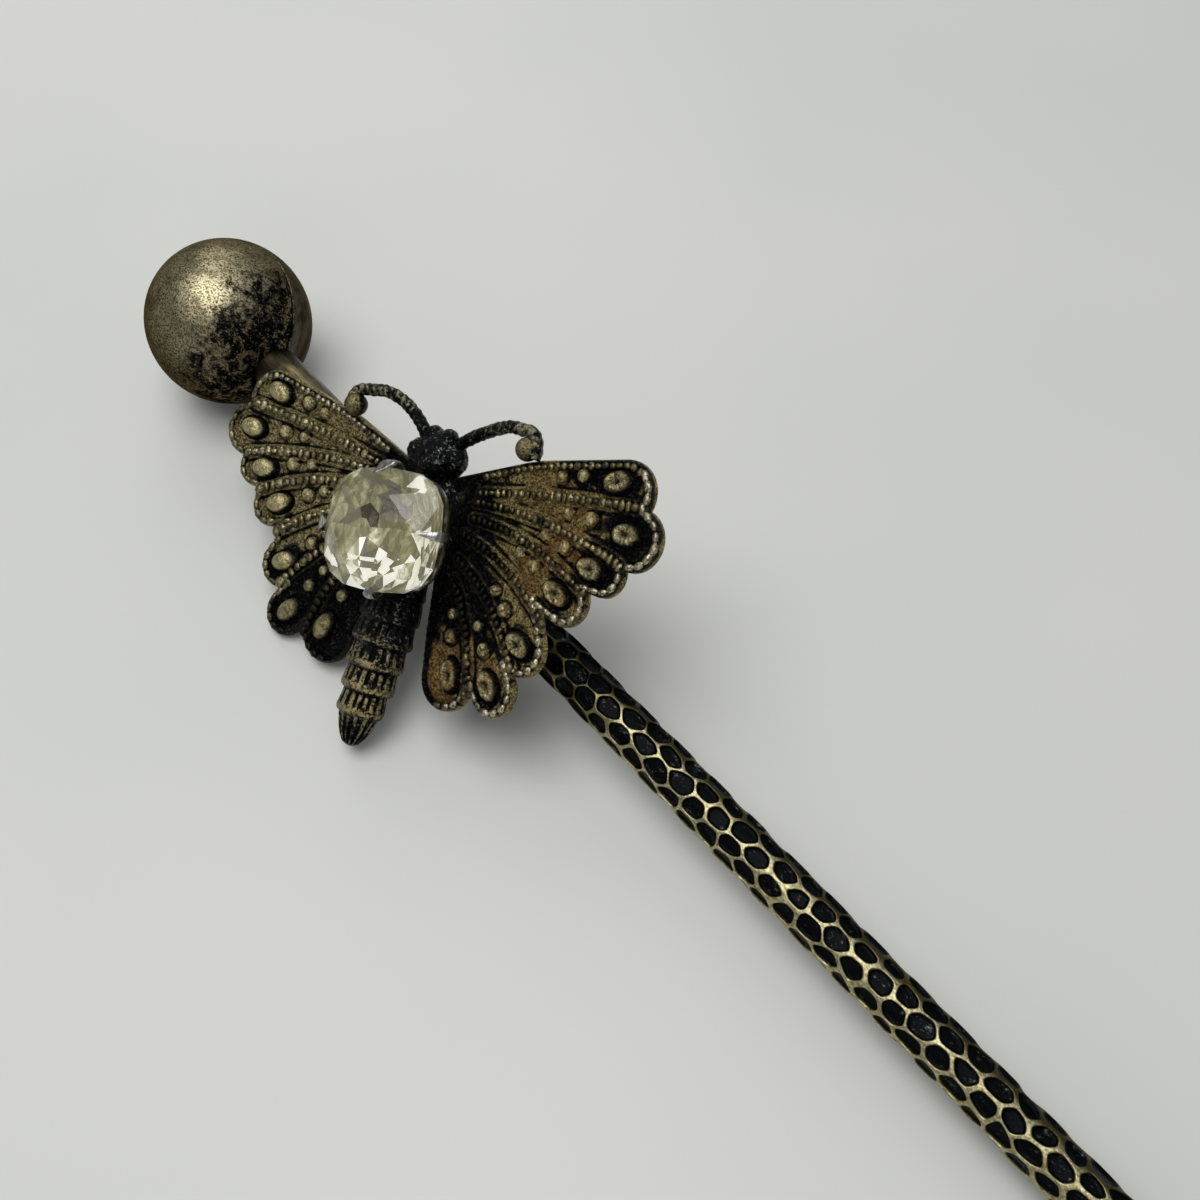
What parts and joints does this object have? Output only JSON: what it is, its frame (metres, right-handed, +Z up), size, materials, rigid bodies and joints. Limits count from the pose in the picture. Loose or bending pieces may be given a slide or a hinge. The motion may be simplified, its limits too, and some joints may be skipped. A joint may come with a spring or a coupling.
{
  "type": "stick pin",
  "caption": "Long round pin with a hollow ball head, a honeycomb shaft and a jewelled butterfly on it, lying on a flat surface.",
  "frame": {"origin": "middle of the footprint of the whole lying pin, on the surface that it lies on", "axes": "+X runs along the pin from the ball toward the point, +Z up, +Y toward the butterfly's head side"},
  "size_m": [0.1499, 0.0256, 0.0231],
  "materials": {
    "shaft_metal": "pale gold with blackened cells",
    "ball_metal": "antiqued, speckled grey-brown, satin",
    "cast_metal": "antiqued, blackened recesses and worn bright relief",
    "silver_metal": "worn silver colour",
    "stone_glass": "clear pale champagne, faceted and polished"
  },
  "bodies": {
    "root": {"shaft": "shaft_metal", "ball": "ball_metal", "butterfly": "cast_metal", "setting": "silver_metal", "stone": "stone_glass"}
  },
  "joints": []
}
